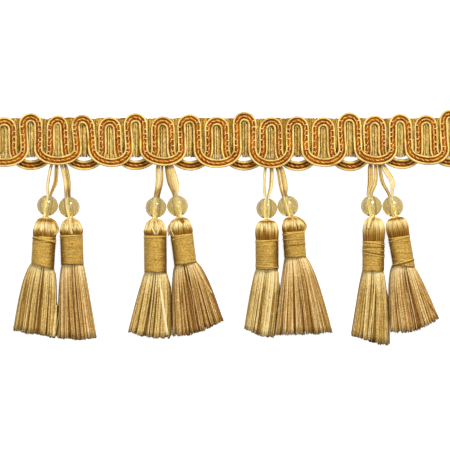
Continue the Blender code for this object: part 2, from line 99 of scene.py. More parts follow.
# Sizes in millimetres, as in the solids
GAP = 0.3
HEADING_LENGTH = 188.8
GROUND_TOP_Y, GROUND_LOW_Y = 40.8, 27.2
GROUND_CROWN = 0.7
CORD_THICK = 1.1
ON_GROUND_Z = GROUND_CROWN + GAP
OVER_Z = ON_GROUND_Z + CORD_THICK + GAP + 0.5
BAND_HALF = 1.695
ARCH_RISE = 2.85
LEG_BEND_Y, LOWER_CURVE_Y = 33.4, 29.3
BACK_DROP_FROM_Y, BACK_DROP_TO_Y = 25.1, 23.5
END_STRAIGHT = 0.4
BEAD_Z = 3.9
LOCKS_ROUND = 18
FLAT = math.cos(math.pi / LOCKS_ROUND)
SKIRT_SPREAD_POWER = 0.9
SKIRT_BULGE_POWER = 0.6
SKIRT_DRAWN_IN = 0.45
SKIRT_HEIGHT_NECK, SKIRT_HEIGHT_TIP = 7.2, 5.0
SKIRT_MIDDLE = 0.45
SKIRT_SQUARENESS = 0.65
FLAT_FROM, FLAT_TO = math.radians(-160), math.radians(-20)
FLOSS_APART = 0.58
HANGER_START_Y = 24.9
HANGER_Z = {"start": 0.9, "leave": 2.0, "middle": 3.0}

# Scroll, left to right along its way: gold cord (offset and radius), groove with ties, copper cord, gold cord
ROUTE_STEP = 0.3
LEFT_GOLD, RIGHT_GOLD = (1.29, 0.39), (-1.24, 0.44)
LOW_CURVE_FROM_Y, LOW_CURVE_TO_Y, LOW_CURVE_GROWS, LOW_CURVE_PAINTED_SHADE = 27.0, 24.5, 0.14, 0.2
COPPER_OFFSET, COPPER_HEIGHT, COPPER_RADIUS, COPPER_PLY, COPPER_PITCH = 0.04, 0.48, 0.15, 0.21, 1.9
GROOVE_HALF, GROOVE_THICK, GROOVE_HEIGHT = 1.25, 0.2, 0.25
TIE_EVERY, TIE_RADIUS, TIE_HEIGHT = 2.2, 0.22, 0.66

# Filler yarns, each a hairpin: half its width, its height over the floor and the yarn's radius
YARNS = {
    "behind": (0.31, 0.34, 0.32),
    "between": (0.14, 0.85, 0.24),
    "inside": (0.45, 1.1, 0.3),
    "beside": (0.14, 0.9, 0.22),
}
YARN_PITCH, YARN_STEP = 1.24, 0.7
YARN_LONGER = (0.9, 2.15)
BED_STATIONS, BED_LOW_Z, BED_TOP_Z = 240, 0.05, 0.3

# Hanging floss and bead; the points of its route where it is painted dark as shadow, pressed together, and in
# the bead, where it is painted paler as light
FLOSS_FIBRE, FIBRES_PER_MM = 0.125, 9
HANGER_STEPS = 5
HANGER_SHADOW, HANGER_KNOT, HANGER_IN_BEAD = (2, 8), ((11, 14), (16, 18)), ((14.5, 16), (24, 25.5))
BEAD_RADIUS, BEAD_HOLE_RADIUS, BEAD_LIP = 4.05, 1.45, 0.2
BEAD_SIDES, BEAD_STEPS = 48, 29

# Head; the points of its line, from the binding up, painted darker as shade: in shadow, at the top and
# creased
HEAD_FIBRES, HEAD_FIBRE, HEAD_CORE_SIDES = 120, 0.16, 24
HEAD_SHADOW, HEAD_TOP, HEAD_CREASE = (2.5, 8), (9, 11), ((9.5, 11), (11.5, 13))

# Binding; the turns that lie askew pass over the front alone
THREAD_PITCH, THREAD_RADIUS, TURN_STEPS = 0.33, 0.19, 32
ASKEW_FROM, ASKEW_TO, ASKEW_STEPS, ASKEW_RADIUS = math.radians(195), math.radians(-15), 26, 0.17

# Skirt: its ribbed core as a share of its section, its locks and the strands in each, how much of its share
# of the way round a lock fills, and how deep its sides fall
STATIONS = np.linspace(0.0, 1.0, 12)
SKIRT_INSIDE, SKIRT_FLOOR = 0.6, 0.15
CORE_RIDGES, CORE_SHARE, CORE_RIDGE, CORE_END = 60, 0.84, 0.04, 0.975
LOCKS, LOCK_STRANDS, LOCK_STRAND = 36, 9, 0.165
LOCK_FILL, LOCK_DROP, LOCK_SUNK, LOCK_LEAN = 0.9, 0.55, 0.12, 0.04

# Seam of a pair: how far past the left skirt its strands lie, where the skirts meet, the right one's height
SEAM_STRANDS = (-0.3, -0.1, 0.1, 0.25, 0.4)
SEAM_FROM = {"1a": 0.5, "2a": 0.12, "3a": 0.16, "4a": 0.22}
SEAM_HEIGHT = 0.7

# Each arch of the scroll, left to right: its middle and top, where its legs stand under the arch and lower
# down, and the middle and edge of the curve below it
Arch = namedtuple("Arch", "x top left left_low right right_low low_x low")
ARCHES = [Arch(*row) for row in (
    (-94.4, 43.0, None, None, -91.6, -91.5, -94.4, 21.5),
    (-83.6, 41.7, -86.6, -86.4, -80.4, -80.3, -83.4, 22.6),
    (-73.5, 43.2, -76.4, -75.6, -70.6, -70.5, -73.6, 21.5),
    (-63.1, 42.3, -65.9, -65.9, -60.9, -60.5, -63.2, 23.3),
    (-54.2, 42.6, -56.5, -55.6, -50.9, -50.1, -53.2, 21.4),
    (-43.6, 41.7, -46.4, -46.3, -40.8, -40.5, -42.6, 22.6),
    (-33.8, 43.2, -36.8, -36.1, -30.9, -30.7, -34.0, 21.5),
    (-23.7, 41.9, -26.4, -26.3, -20.6, -20.4, -22.6, 23.0),
    (-13.3, 42.8, -16.5, -16.1, -10.6, -10.3, -13.2, 21.3),
    (-3.0, 41.9, -6.2, -6.0, 0.0, 0.2, -3.0, 22.2),
    (7.1, 43.6, 4.5, 4.8, 10.4, 10.3, 7.2, 21.3),
    (17.7, 41.6, 14.5, 14.6, 20.2, 20.3, 17.4, 22.0),
    (27.3, 42.0, 24.5, 24.6, 30.2, 30.3, 27.6, 21.1),
    (37.4, 41.6, 34.3, 34.4, 40.0, 40.2, 37.7, 22.6),
    (47.0, 43.4, 44.0, 44.5, 49.9, 50.3, 47.6, 21.1),
    (56.6, 42.3, 53.8, 54.1, 59.4, 59.5, 57.4, 23.4),
    (66.1, 42.9, 63.5, 63.5, 69.1, 69.5, 67.2, 21.9),
    (76.2, 42.5, 73.2, 73.4, 78.8, 79.1, 77.4, 23.4),
    (84.9, 44.5, 82.6, 83.2, 88.0, 88.1, 85.7, 22.6),
    (94.4, 42.6, 91.8, 91.9, None, None, 94.4, 21.9),
)]

# Each tassel, as in the solids: bead, top of the head, lower end of the binding, how far below the top the
# binding starts, its radius, both corners of the cut skirt, the sag between them, slope of the shoulders and
# bulge of each side; then, for the looks, how dark the painted shade in the head's crease is, how far its
# strands cross, raise and tilt of the binding's lower edge, and tint of the skirt
Tassel = namedtuple("Tassel", (
    "name bead top neck band_from radius tip_left tip_right sag slope left_out right_out "
    "crease lean band_raised band_tilt skirt_tint"
))
TASSELS = [Tassel(*row) for row in (
    ("1a", (-67.0, 8.1), (-67.7, 3.5), (-68.8, -15.2), 7.2, 4.49, (-80.0, -38.5), (-64.0, -41.3), 0.3,
     1.8, 1.3, 0.95, 0.6, 0.0, 0.4, 0.9, -0.09),
    ("1b", (-58.8, 7.5), (-58.1, 3.1), (-57.6, -13.7), 6.0, 4.42, (-63.4, -41.5), (-48.5, -41.5), 0.8,
     1.6, 0.5, 0.0, 0.1, 0.6, -0.4, 0.0, -0.1),
    ("2a", (-26.1, 7.4), (-26.4, 2.9), (-26.2, -16.8), 6.1, 4.38, (-36.4, -39.2), (-20.7, -41.2), 1.2,
     1.6, 0.1, 0.9, 0.0, 0.15, -0.3, 0.0, -0.02),
    ("2b", (-17.9, 7.9), (-17.2, 3.4), (-14.9, -13.9), 6.4, 4.38, (-20.1, -40.8), (-1.0, -35.1), 1.6,
     1.2, 0.7, 1.0, 0.4, 0.3, 0.0, 0.0, -0.2),
    ("3a", (15.7, 7.0), (15.8, 2.5), (15.9, -15.6), 7.4, 4.45, (7.5, -38.1), (18.2, -41.1), 0.9,
     1.0, 0.35, 0.95, 0.5, 0.0, -0.4, 0.0, -0.04),
    ("3b", (23.8, 7.9), (25.4, 3.8), (26.5, -11.1), 5.7, 4.26, (18.8, -40.2), (40.8, -39.4), 0.4,
     1.2, 0.0, 1.0, 0.5, 0.1, -0.4, 0.0, 0.0),
    ("4a", (55.2, 7.9), (56.2, 3.4), (55.9, -16.6), 8.9, 4.23, (47.9, -40.4), (62.0, -44.0), 0.7,
     1.1, 0.1, 0.7, 0.15, 0.0, 0.0, 0.0, -0.09),
    ("4b", (63.4, 7.8), (64.4, 3.6), (67.5, -14.5), 7.4, 4.23, (62.4, -39.2), (80.8, -34.3), 2.0,
     1.0, 1.2, 0.3, 0.6, 0.0, -0.25, 1.1, -0.02),
)]

# The doubled floss of each tassel, as in the solids but for strands that press together: half way down their
# widths and tints, and how much darker they are where they meet above the bead
Hanger = namedtuple("Hanger", (
    "from_x starts left_leave left_middle right_leave right_middle fork wide tints knot"
))
HANGERS = {
    "1a": (-63.2, (-1.7, -0.55), (-65.9, 22.3), (-66.9, 16.6), (-63.7, 22.3), (-64.0, 17.0), (-66.3, 12.3),
           (1.4, 1.9), (0.8, 0.35), 0.0),
    "1b": (-63.2, (0.55, 1.7), (-61.5, 22.3), (-60.2, 17.0), (-60.0, 22.3), (-58.9, 17.0), (-59.3, 12.1),
           (1.6, 1.4), (0.85, 0.4), 0.45),
    "2a": (-23.0, (-1.7, -0.55), (-25.3, 22.3), (-25.3, 16.8), (-23.8, 22.3), (-23.9, 16.8), (-25.6, 12.0),
           (1.8, 1.1), (0.85, 0.5), 0.45),
    "2b": (-23.0, (0.55, 1.7), (-21.9, 21.9), (-21.0, 16.9), (-20.3, 21.9), (-18.6, 15.7), (-18.8, 12.3),
           (1.8, 2.9), (0.5, 0.85), 0.1),
    "3a": (17.4, (-1.7, -0.55), (15.2, 21.5), (14.8, 15.7), (17.6, 21.5), (17.4, 15.5), (15.9, 11.6),
           (1.2, 1.6), (0.75, 0.7), 0.0),
    "3b": (17.4, (0.55, 1.7), (20.1, 21.5), (21.2, 15.4), (21.6, 21.5), (22.9, 15.7), (22.8, 12.2),
           (1.7, 2.0), (0.75, 0.8), 0.35),
    "4a": (57.0, (-1.7, -0.55), (55.0, 22.2), (55.0, 16.6), (57.0, 22.2), (56.8, 16.6), (55.1, 12.2),
           (2.2, 1.5), (0.6, 0.75), 0.1),
    "4b": (57.0, (0.55, 1.7), (58.6, 22.2), (59.5, 16.8), (60.3, 22.2), (63.1, 17.3), (62.7, 12.2),
           (1.5, 2.3), (0.45, 0.85), 0.1),
}

# Loose strands that lie over a head: width, tint, and the places that they pass
HEAD_STRAYS = {
    "1a": ((1.3, 0.5, ((-66.0, 3.1), (-64.4, 2.0), (-63.3, 0.2), (-63.3, -1.6), (-64.5, -2.9))),),
    "1b": ((1.2, 0.8, ((-58.1, 3.9), (-58.5, 1.9), (-58.1, -0.4), (-57.6, -2.6))),),
    "2a": ((0.8, 0.9, ((-28.7, 2.1), (-27.2, -0.7), (-26.1, -2.8))),
           (0.8, 0.8, ((-23.6, 1.7), (-24.9, -0.7), (-25.6, -2.8)))),
    "2b": ((0.9, 0.8, ((-17.4, 3.9), (-19.2, 2.4), (-21.0, 0.4), (-21.3, -1.6), (-19.6, -3.3))),
           (0.6, 1.0, ((-21.3, -3.2), (-20.5, -0.9), (-19.2, -3.3))),
           (1.2, 0.1, ((-17.0, 3.1), (-16.3, 2.3), (-15.7, 1.4)))),
    "3a": (),
    "3b": ((1.4, 0.7, ((24.9, 4.0), (27.9, 3.1), (30.1, 1.1), (30.1, -0.8), (29.0, -2.0))),
           (0.6, 0.9, ((24.9, 3.4), (26.8, 1.6), (28.2, -0.6)))),
    # 4a's first strand is a thin dark one, painted shadow beside the pale loop
    "4a": ((0.5, 0.1, ((56.1, 3.4), (55.3, 2.2), (54.8, 0.8), (54.6, -0.7))),
           (1.3, 0.95, ((55.6, 4.3), (54.6, 3.0), (54.1, 1.4), (53.9, -0.5)))),
    "4b": (),
}

# Turns of the binding that lie askew over the others: places along Y where each crosses the left and right
# side, and its tint
BINDING_STRAYS = {
    "1a": ((-3.9, -5.4, 0.95), (-4.5, -6.0, 0.1), (-6.3, -4.7, 0.9)),
    "1b": ((-3.3, -3.6, 0.8),),
    "2a": ((-3.9, -3.7, 0.8),),
    "2b": ((-4.2, -3.2, 0.9),),
    "3a": ((-5.6, -4.6, 0.9), (-14.6, -15.2, 0.9)),
    "3b": ((-2.6, -2.2, 0.9), (-4.4, -4.7, 0.7), (-6.9, -6.5, 0.2)),
    "4a": ((-5.4, -6.6, 0.95), (-7.6, -7.4, 0.2), (-8.6, -8.9, 0.8), (-9.2, -10.6, 0.05),
           (-9.7, -11.3, 0.95)),
    "4b": ((-4.6, -3.6, 0.9), (-13.6, -12.6, 0.95), (-14.0, -13.1, 0.1)),
}

# Loose strands over a skirt: width, tint, and where each starts and ends
SKIRT_STRAYS = {
    "1a": ((1.1, 1.15, (-63.6, -29.5), (-64.8, -41.4)),),
    "1b": ((0.45, 0.95, (-57.2, -15.0), (-55.6, -41.5)), (0.4, 0.9, (-62.3, -31.0), (-64.2, -40.8))),
    "2a": ((1.1, 1.5, (-24.9, -18.5), (-21.8, -40.8)),),
    "2b": ((0.9, 0.95, (-11.0, -15.0), (-5.0, -25.0)),),
    "3a": ((0.4, 0.95, (20.0, -31.0), (20.0, -39.0)),),
    "3b": ((0.4, 0.9, (32.0, -16.5), (39.4, -38.4)),),
    "4a": ((0.5, 0.95, (58.6, -17.0), (61.4, -40.8)),),
    "4b": ((0.4, 0.3, (76.2, -27.5), (80.6, -34.4)), (0.45, 0.95, (63.2, -27.0), (62.9, -38.8))),
}

ground_low, ground_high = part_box("heading_ground")
SHIFT = np.array([0.0, (ground_low[1] + ground_high[1]) / 2 / MM - (GROUND_TOP_Y + GROUND_LOW_Y) / 2, 0.0])
UPWARDS = np.array([0.0, 0.0, 1.0])
TURN = 2 * math.pi


# Plain arithmetic

def ease(value, start, end):
    """0 at start, 1 at end, level at both."""
    share = np.clip((value - start) / (end - start), 0.0, 1.0)
    return share * share * (3 - 2 * share)


def mix(first, second, share):
    return first + (second - first) * share


def hump(value, rise, fall):
    """0, then 1 from the end of rise to the start of fall, then 0 again."""
    return ease(value, *rise) * (1 - ease(value, *fall))


def even(points, step):
    """The same polyline with points a step apart."""
    points = np.asarray(points, float)
    lengths = np.linalg.norm(np.diff(points[:, :3], axis=0), axis=1)
    along = np.concatenate([[0.0], np.cumsum(lengths)])
    wanted = np.linspace(0.0, along[-1], max(2, round(along[-1] / step) + 1))
    return np.stack([np.interp(wanted, along, column) for column in points.T], axis=1)


def softened(points, reach):
    """Each point moved to the mean of its neighbours, with both ends kept."""
    before = 2 * points[0] - points[reach:0:-1]
    after = 2 * points[-1] - points[-2:-reach - 2:-1]
    padded = np.concatenate([before, points, after])
    kernel = np.ones(2 * reach + 1) / (2 * reach + 1)
    return np.stack([np.convolve(column, kernel, "valid") for column in padded.T], axis=1)


def wander(chance, count, size, knots=6):
    """A smooth random curve around zero, count values long."""
    return np.interp(np.linspace(0, knots - 1, count), np.arange(knots), chance.normal(0.0, size, knots))


def unit(vector):
    return np.asarray(vector, float) / np.linalg.norm(vector)


def units(vectors):
    return vectors / np.linalg.norm(vectors, axis=1, keepdims=True)


def smooth_route(anchors, steps):
    """Points on a Catmull-Rom curve through the anchors."""
    anchors = np.asarray(anchors, float)
    ends = np.array([2 * anchors[0] - anchors[1], *anchors, 2 * anchors[-1] - anchors[-2]])
    points = []
    for before, here, after, beyond in zip(ends, ends[1:], ends[2:], ends[3:]):
        for t in np.arange(steps) / steps:
            points.append(0.5 * (
                2 * here + (after - before) * t + (2 * before - 5 * here + 4 * after - beyond) * t ** 2
                + (3 * here - before - 3 * after + beyond) * t ** 3
            ))
    points.append(ends[-2])
    return np.array(points)


# Meshes made of many strands

class Strands:
    """Tubes and skins of one piece; each vertex has a tint (0 is dark), a place along and a spare value."""

    def __init__(self):
        self.points, self.faces, self.values, self.count = [], [], [], 0

    def take(self, rings, faces, values):
        self.points.append(rings.reshape(-1, 3))
        self.values.append(values.reshape(-1, 3))
        self.faces += [list(face) for face in faces]
        self.count += rings.size // 3

    def tube(self, path, radius, out, sides, tint, along=0.0, spare=0.0, edge=0.0, flatness=1.0):
        """A closed tube along a path; out is the side that shows, and edge paints shade on its back."""
        count = len(path)
        tangents = units(np.gradient(path, axis=0))
        first = np.broadcast_to(out, path.shape)
        first = units(first - (first * tangents).sum(1, keepdims=True) * tangents)
        second = np.cross(tangents, first) * flatness
        angles = np.arange(sides) * TURN / sides
        turn = np.cos(angles)[:, None] * first[:, None] + np.sin(angles)[:, None] * second[:, None]
        points = path[:, None] + np.broadcast_to(radius, count)[:, None, None] * turn
        values = np.zeros((count, sides, 3))
        for column, value in enumerate((tint, along, spare)):
            values[..., column] = np.broadcast_to(value, count)[:, None]
        # painted shade: darker towards the back of the tube, away from out
        values[..., 0] -= edge * (1 - np.cos(angles)) / 2
        self.skin(points, values)

    def skin(self, rings, values):
        """A closed skin over rings (rings, points, 3), each a loop, with flat ends."""
        index = self.count + np.arange(rings.size // 3).reshape(rings.shape[:2])
        near, far = index[:-1], index[1:]
        walls = np.stack([near, np.roll(near, -1, 1), np.roll(far, -1, 1), far], -1).reshape(-1, 4)
        self.take(rings, [*walls, index[0, ::-1], index[-1]], values)

    def piece(self, name, material, slot, *nodes):
        """Makes the object, which rides on the only body and stands for the CAD nodes."""
        mesh = bpy.data.meshes.new(name)
        points = (np.concatenate(self.points) + SHIFT) * MM
        mesh.from_pydata(points.tolist(), [], self.faces)
        mesh.shade_smooth()
        values = np.concatenate(self.values)
        colours = np.concatenate([values, np.ones((len(values), 1))], axis=1)
        layer = mesh.color_attributes.new("strand", "FLOAT_COLOR", "POINT")
        layer.data.foreach_set("color", colours.astype(np.float32).ravel())
        mesh.materials.append(MATERIALS[material])
        made = bpy.data.objects.new(name, mesh)
        bpy.context.scene.collection.objects.link(made)
        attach(made, "root")
        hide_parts(*nodes)
        return made


# Materials

MATERIALS = {}


class Nodes:
    """A short way to write the nodes of a material, which is kept by name in MATERIALS."""

    def __init__(self, name):
        MATERIALS[name] = bpy.data.materials.new(name)
        MATERIALS[name].use_nodes = True
        self.tree = MATERIALS[name].node_tree
        self.shader = self.tree.nodes["Principled BSDF"]

    def add(self, kind, **settings):
        node = self.tree.nodes.new(kind)
        for key, value in settings.items():
            setattr(node, key, value)
        return node

    def join(self, output, socket):
        self.tree.links.new(output, socket)

    def math(self, operation, first, second=0.0):
        node = self.add("ShaderNodeMath", operation=operation)
        for socket, value in zip(node.inputs, (first, second)):
            if isinstance(value, (int, float)):
                socket.default_value = value
            else:
                self.join(value, socket)
        return node.outputs[0]

    def strand(self):
        """Tint, place along and spare value of the strand."""
        attribute = self.add("ShaderNodeAttribute", attribute_name="strand")
        parts = self.add("ShaderNodeSeparateColor")
        self.join(attribute.outputs["Color"], parts.inputs[0])
        return parts.outputs

    def ramp(self, value, *stops):
        """Colours at places from 0 to 1, each stop a (place, colour)."""
        node = self.add("ShaderNodeValToRGB")
        elements = node.color_ramp.elements
        while len(elements) < len(stops):
            elements.new(0.5)
        for element, (place, colour) in zip(elements, stops):
            element.position = place
            element.color = (*colour, 1.0)
        self.join(value, node.inputs[0])
        return node.outputs[0]

    def blend(self, share, first, second):
        """One colour turning into another."""
        node = self.add("ShaderNodeMix", data_type="RGBA")
        for socket, value in ((0, share), (6, first), (7, second)):
            self.join(value, node.inputs[socket])
        return node.outputs[2]

    def noise(self, scale, detail=2.0):
        node = self.add("ShaderNodeTexNoise")
        node.inputs["Scale"].default_value = scale
        node.inputs["Detail"].default_value = detail
        self.join(self.add("ShaderNodeTexCoord").outputs["Object"], node.inputs["Vector"])
        return node.outputs[0]

    def bump(self, height, distance):
        node = self.add("ShaderNodeBump")
        node.inputs["Distance"].default_value = distance
        self.join(height, node.inputs["Height"])
        self.join(node.outputs[0], self.shader.inputs["Normal"])

    def finish(self, colour, roughness, specular):
        self.join(colour, self.shader.inputs["Base Color"])
        self.shader.inputs["Roughness"].default_value = roughness
        self.shader.inputs["Specular IOR Level"].default_value = specular


def cord_material(name, dark, light, roughness, specular, rib, depth, grain=900.0, strength=0.4):
    """A wound or twisted cord: its tint wanders, it has a grain, and fine thread runs round it."""
    nodes = Nodes(name)
    tint, along, _ = nodes.strand()
    spots = nodes.math("MULTIPLY", nodes.math("SUBTRACT", nodes.noise(grain), 0.5), strength)
    shade = nodes.math("ADD", nodes.math("MULTIPLY", tint, 0.6), nodes.math("ADD", spots, 0.2))
    wave = nodes.math("SINE", nodes.math("MULTIPLY", along, TURN / rib))
    nodes.bump(wave, depth * MM)
    nodes.finish(nodes.ramp(shade, (0.2, dark), (0.8, light)), roughness, specular)


def floss_material(name, stops, roughness, specular, speckle, in_bead=()):
    """Satin floss: each strand has its own tint, is mottled and speckled along it, and painted paler in a
    bead.
    """
    nodes = Nodes(name)
    tint, along, spare = nodes.strand()
    speckles, patches, fibres = (nodes.noise(scale) for scale in (2200.0, 420.0, 2500.0))
    spots = nodes.math("MULTIPLY", nodes.math("SUBTRACT", speckles, 0.5), speckle)
    patch = nodes.math("ADD", nodes.math("MULTIPLY", patches, 0.2), spots)
    value = nodes.math("ADD", nodes.math("MULTIPLY", tint, 0.8), nodes.math("ADD", patch, 0.1))
    # the spare value carries painted shade and painted light
    value = nodes.math("ADD", value, spare)
    colour = nodes.ramp(value, *stops)
    if in_bead:
        colour = nodes.blend(along, colour, nodes.ramp(value, *in_bead))
    nodes.bump(fibres, 0.03 * MM)
    nodes.finish(colour, roughness, specular)


def bead_material():
    """Clear resin, a little cloudy, that absorbs all but yellow."""
    nodes = Nodes("bead_acrylic")
    colour = nodes.ramp(nodes.noise(160.0, 1.0), (0.3, (0.915, 0.845, 0.53)), (0.7, (0.99, 0.955, 0.64)))
    nodes.join(colour, nodes.shader.inputs["Base Color"])
    nodes.shader.inputs["Roughness"].default_value = 0.16
    nodes.shader.inputs["IOR"].default_value = 1.49
    nodes.shader.inputs["Transmission Weight"].default_value = 0.9
    amber = nodes.add("ShaderNodeVolumeAbsorption")
    amber.inputs["Color"].default_value = (0.575, 0.428, 0.01, 1.0)
    amber.inputs["Density"].default_value = 320.0
    nodes.join(amber.outputs[0], nodes.tree.nodes["Material Output"].inputs["Volume"])


def make_materials():
    for name, look in CORDS.items():
        cord_material(name, *look)
    for name, look in FLOSSES.items():
        floss_material(name, *look)
    bead_material()


# Heading

def quarter(start, end, starts_upright):
    """Points of a quarter ellipse after start, up to end, that leaves start upright or else level."""
    angles = np.linspace(0.0, math.pi / 2, 13)[1:]
    across, along = 1 - np.cos(angles), np.sin(angles)
    if not starts_upright:
        across, along = along, across
    return [(mix(start[0], end[0], a), mix(start[1], end[1], b)) for a, b in zip(across, along)]


def leg_bend(row, side):
    """Where a leg starts to rise, on the straight between its arch and its lower curve."""
    spring = row.top - BAND_HALF - ARCH_RISE
    share = (LEG_BEND_Y - LOWER_CURVE_Y) / (spring - LOWER_CURVE_Y)
    return mix(getattr(row, side + "_low"), getattr(row, side), share), LEG_BEND_Y


def scroll_route(arches_first):
    """The middle line of one scroll cord: over every other arch, and under the arches between."""
    route = []
    for index, row in enumerate(ARCHES):
        is_arch = (index % 2 == 0) == arches_first
        if is_arch:
            middle = (row.x, row.top - BAND_HALF)
            left, right = ((x, middle[1] - ARCH_RISE) for x in (row.left, row.right))
        else:
            middle = (row.low_x, row.low + BAND_HALF)
            before, after = ARCHES[index - 1], ARCHES[(index + 1) % len(ARCHES)]
            left, right = (before.right_low, LOWER_CURVE_Y), (after.left_low, LOWER_CURVE_Y)
        if index > 0:
            route += [leg_bend(row, "left"), left] if is_arch else [left]
            route += quarter(left, middle, True)
        else:
            route += [middle, (middle[0] + END_STRAIGHT, middle[1])]
        if index < len(ARCHES) - 1:
            route += quarter(middle, right, False)
            route += [leg_bend(row, "right")] if is_arch else []
        else:
            route.insert(-1, (middle[0] - END_STRAIGHT, middle[1]))
    return route


def front_height(y):
    return mix(ON_GROUND_Z, OVER_Z, ease(-y, -LEG_BEND_Y, -LOWER_CURVE_Y))


def back_height(y):
    return ON_GROUND_Z * (1 - ease(-y, -BACK_DROP_FROM_Y, -BACK_DROP_TO_Y))


def scroll(name, arches_first, height_at, chance):
    """One scroll band: gold cords at its edges, a copper cord over painted shade between them, and the ties.
    """
    middle = softened(even(scroll_route(arches_first), ROUTE_STEP), 3)
    count = len(middle)
    step = units(np.gradient(middle, axis=0))
    across = np.stack([-step[:, 1], step[:, 0]], axis=1)
    length = np.arange(count) * ROUTE_STEP
    base = height_at(middle[:, 1])

    def line(offset, height):
        places = middle + across * np.reshape(offset, (-1, 1))
        return np.column_stack([places, base + height])

    gold, copper, groove, ties = Strands(), Strands(), Strands(), Strands()
    # painted shade: copper and groove are darker along the back scroll's low curve, as in shadow
    low = 0.0 if arches_first else ease(-middle[:, 1], -LOW_CURVE_FROM_Y, -LOW_CURVE_TO_Y)
    for offset, radius in (LEFT_GOLD, RIGHT_GOLD):
        grown = LOW_CURVE_GROWS * low if offset > 0 else 0.0
        path = line(offset + grown + wander(chance, count, 0.03, 150), radius + 0.12 + grown)
        thick = radius + grown + wander(chance, count, 0.015, 400)
        gold.tube(path, thick, UPWARDS, 8, 0.95 + wander(chance, count, 0.2, 200), length, edge=3.0)
    for phase, tint in ((0.0, 0.4), (math.pi, 1.1)):
        turn = length * TURN / COPPER_PITCH + phase
        height = COPPER_HEIGHT + COPPER_RADIUS * np.sin(turn)
        tint = tint - LOW_CURVE_PAINTED_SHADE * low + wander(chance, count, 0.25, 300)
        path = line(COPPER_OFFSET + COPPER_RADIUS * np.cos(turn), height)
        copper.tube(path, COPPER_PLY, UPWARDS, 6, tint, length, edge=1.5)
    # painted shade: a flat dark sheet under the cords, for the shade in the grooves between them
    flatness = GROOVE_HALF / GROOVE_THICK
    tint = 0.5 - LOW_CURVE_PAINTED_SHADE * low + wander(chance, count, 0.3, 300)
    groove.tube(line(0.0, GROOVE_HEIGHT), GROOVE_THICK, UPWARDS, 6, tint, length, flatness=flatness)

    upright = (np.abs(step[:, 1]) > 0.9) & (middle[:, 1] > LOWER_CURVE_Y - 1.2)
    due = 0.0
    for index in np.nonzero(upright)[0]:
        if length[index] < due or not 3 <= index < count - 3:
            continue
        due = length[index] + TIE_EVERY * chance.uniform(0.6, 1.4)
        reach = np.linspace(0.25 + chance.uniform(0.0, 0.2), LEFT_GOLD[0] - 0.1, 5)
        rise = 0.2 * np.sin(math.pi * np.linspace(0.0, 1.0, 5))
        level = middle[index] + across[index] * reach[:, None]
        path = np.column_stack([level, base[index] + TIE_HEIGHT + rise])
        ties.tube(path, TIE_RADIUS, UPWARDS, 6, chance.uniform(0.5, 1.0), edge=0.6)
    node = f"scroll_{name}"
    gold.piece(f"{node}_gold", "gold_cord", "scroll_cord", node)
    copper.piece(f"{node}_copper", "copper_cord", "scroll_cord", node)
    groove.piece(f"{node}_groove_thread", "groove_thread", "scroll_cord", node)
    ties.piece(f"{node}_ties", "tie_thread", "scroll_cord", node)


def hairpin(strands, kind, x, low, top, tint, chance):
    """A yarn that runs up, turns and runs down, with painted shade towards its turn."""
    half, height, radius = YARNS[kind]
    turn = [(x - half * math.cos(a), top - half + half * math.sin(a)) for a in np.linspace(0, math.pi, 7)]
    ends = (x - half, low), (x + half, low + chance.uniform(0.0, 0.5))
    path = softened(even([ends[0], *turn, ends[1]], YARN_STEP), 1)
    count = len(path)
    sway = np.stack([wander(chance, count, 0.06, 9), wander(chance, count, 0.03)], axis=1)
    tints = tint + chance.normal(0.0, 0.16, count) - 0.15 * ease(path[:, 1], top - 1.6, top - 0.4)
    places = np.column_stack([path + sway, height + wander(chance, count, 0.05, 9)])
    thick = radius * (1 + chance.normal(0.0, 0.07, count))
    strands.tube(places, thick, UPWARDS, 6, tints, np.arange(count) * YARN_STEP, edge=0.6)


def yarn_bed(strands, chance):
    """A thin dark sheet behind the filler yarns, with an uneven upper edge, that closes the gaps as painted
    shade.
    """
    side, low = HEADING_LENGTH / 2 - 0.2, GROUND_LOW_Y + 0.3
    tops = GROUND_TOP_Y + 0.35 + wander(chance, BED_STATIONS, 0.22, BED_STATIONS // 2)
    rings = np.array([
        [(x, low, BED_LOW_Z), (x, top, BED_LOW_Z), (x, top, BED_TOP_Z), (x, low, BED_TOP_Z)]
        for x, top in zip(np.linspace(-side, side, BED_STATIONS), tops)
    ])
    strands.skin(rings, np.zeros((BED_STATIONS, 4, 3)))


def ground(chance):
    """The filler yarns: hairpins over the whole length, one between each two arches, two inside each arch."""
    under, over = Strands(), Strands()
    yarn_bed(under, chance)
    count = int((HEADING_LENGTH - 0.5) / YARN_PITCH)
    for index in range(count):
        x = (index - (count - 1) / 2) * YARN_PITCH
        nearest = min(range(len(ARCHES)), key=lambda place: abs(ARCHES[place].x - x))
        low = (GROUND_LOW_Y - YARN_LONGER[nearest % 2]) + chance.uniform(0.0, 0.4)
        top = GROUND_TOP_Y + chance.uniform(0.3, 0.75)
        hairpin(under, "behind", x, low, top, chance.uniform(0.3, 1.0), chance)
    for row, after in zip(ARCHES, ARCHES[1:]):
        x = (row.right + after.left) / 2
        if after.left - row.right - 2 * BAND_HALF > 0.5:
            top = GROUND_TOP_Y + chance.uniform(0.2, 0.8)
            hairpin(over, "between", x, LOWER_CURVE_Y + 0.4, top, chance.uniform(0.0, 0.4), chance)
    for index, row in enumerate(ARCHES[1:-1], 1):
        x = (row.left + row.right) / 2
        inside = row.top - 2 * BAND_HALF
        low = GROUND_LOW_Y - YARN_LONGER[index % 2] + chance.uniform(0.0, 0.3)
        hairpin(over, "inside", x - 0.15, low, inside, chance.uniform(0.35, 0.75), chance)
        hairpin(over, "beside", x + 0.8, low, inside - 0.6, chance.uniform(0.2, 0.7), chance)
    under.piece("heading_ground_yarns", "ground_yarn", "ground_yarn", "heading_ground")
    over.piece("heading_filler_yarns", "filler_yarn", "ground_yarn", "heading_ground")


# Hangers and beads

def bead_axes(row):
    """Along the bead's hole, upwards, and across it, both level with the floor."""
    up = unit(np.subtract(Hanger(*HANGERS[row.name]).fork, row.top))
    return np.array([*up, 0.0]), np.array([up[1], -up[0], 0.0])


